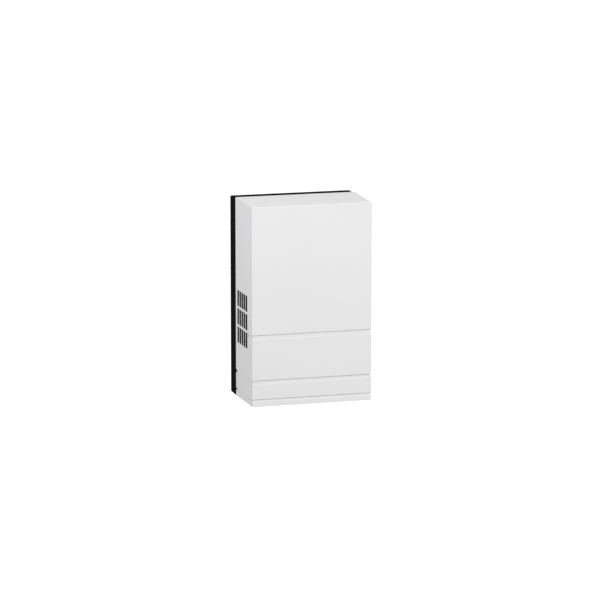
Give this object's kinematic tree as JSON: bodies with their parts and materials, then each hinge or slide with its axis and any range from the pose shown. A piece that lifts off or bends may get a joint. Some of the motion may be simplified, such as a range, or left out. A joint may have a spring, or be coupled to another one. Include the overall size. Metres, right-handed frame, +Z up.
{
  "type": "doorbell chime box",
  "caption": "Wall-hung two-note door chime: a plain moulded cover with grooves and side grilles over a tray that holds tone bars, a solenoid striker and a transformer.",
  "frame": {"origin": "middle of the flat back of the base, where it lies on the wall", "axes": "+X to the right as seen from the front, +Y into the wall, +Z up"},
  "size_m": [0.12, 0.0775, 0.195],
  "materials": {
    "cover_white": "satin moulded",
    "base_black": "fine textured",
    "bar_steel": "brushed",
    "bush_rubber": "matt",
    "spring_steel": "drawn",
    "plated_steel": "zinc plated",
    "natural_nylon": "satin",
    "enamelled_wire": "enamelled copper wire",
    "bright_steel": "turned",
    "laminated_steel": "stacked sheets, varnished",
    "taped_winding": "copper wire under tape",
    "block_plastic": "satin",
    "terminal_brass": "turned",
    "screw_steel": "zinc plated",
    "lead_insulation": "pvc insulation"
  },
  "bodies": {
    "base": {"base_plate": "base_black", "bar_clips": "spring_steel", "solenoid_frame": "plated_steel", "solenoid_bobbin": "natural_nylon", "solenoid_winding": "enamelled_wire", "return_spring": "spring_steel", "solenoid_screws": "screw_steel", "transformer_core": "laminated_steel", "transformer_former": "natural_nylon", "secondary_winding": "taped_winding", "primary_winding": "taped_winding", "transformer_clamp": "plated_steel", "transformer_screws": "screw_steel", "terminal_block": "block_plastic", "terminal_inserts": "terminal_brass", "terminal_screws": "screw_steel", "block_screws": "screw_steel", "cable_bush": "bush_rubber", "primary_leads": "lead_insulation", "secondary_lead": "lead_insulation", "coil_leads": "lead_insulation"},
    "cover": {"cover": "cover_white"},
    "plunger": {"plunger_core": "bright_steel", "left_striker": "natural_nylon", "right_striker": "natural_nylon"},
    "left_bar": {"left_tone_bar": "bar_steel", "left_bar_bushes": "bush_rubber"},
    "right_bar": {"right_tone_bar": "bar_steel", "right_bar_bushes": "bush_rubber"}
  },
  "joints": [
    {"name": "cover_off", "type": "slide", "parent": "base", "child": "cover", "axis": [0, -1, 0], "range_m": [0, 0.09]},
    {"name": "plunger_slide", "type": "slide", "parent": "base", "child": "plunger", "axis": [1, 0, 0], "range_m": [-0.0026, 0.0094], "stiffness_N_per_m": 60, "deforming": ["return_spring"]},
    {"name": "left_bar_float", "type": "slide", "parent": "base", "child": "left_bar", "axis": [-1, 0, 0], "range_m": [0, 0.0006]},
    {"name": "right_bar_float", "type": "slide", "parent": "base", "child": "right_bar", "axis": [1, 0, 0], "range_m": [0, 0.0006]}
  ]
}
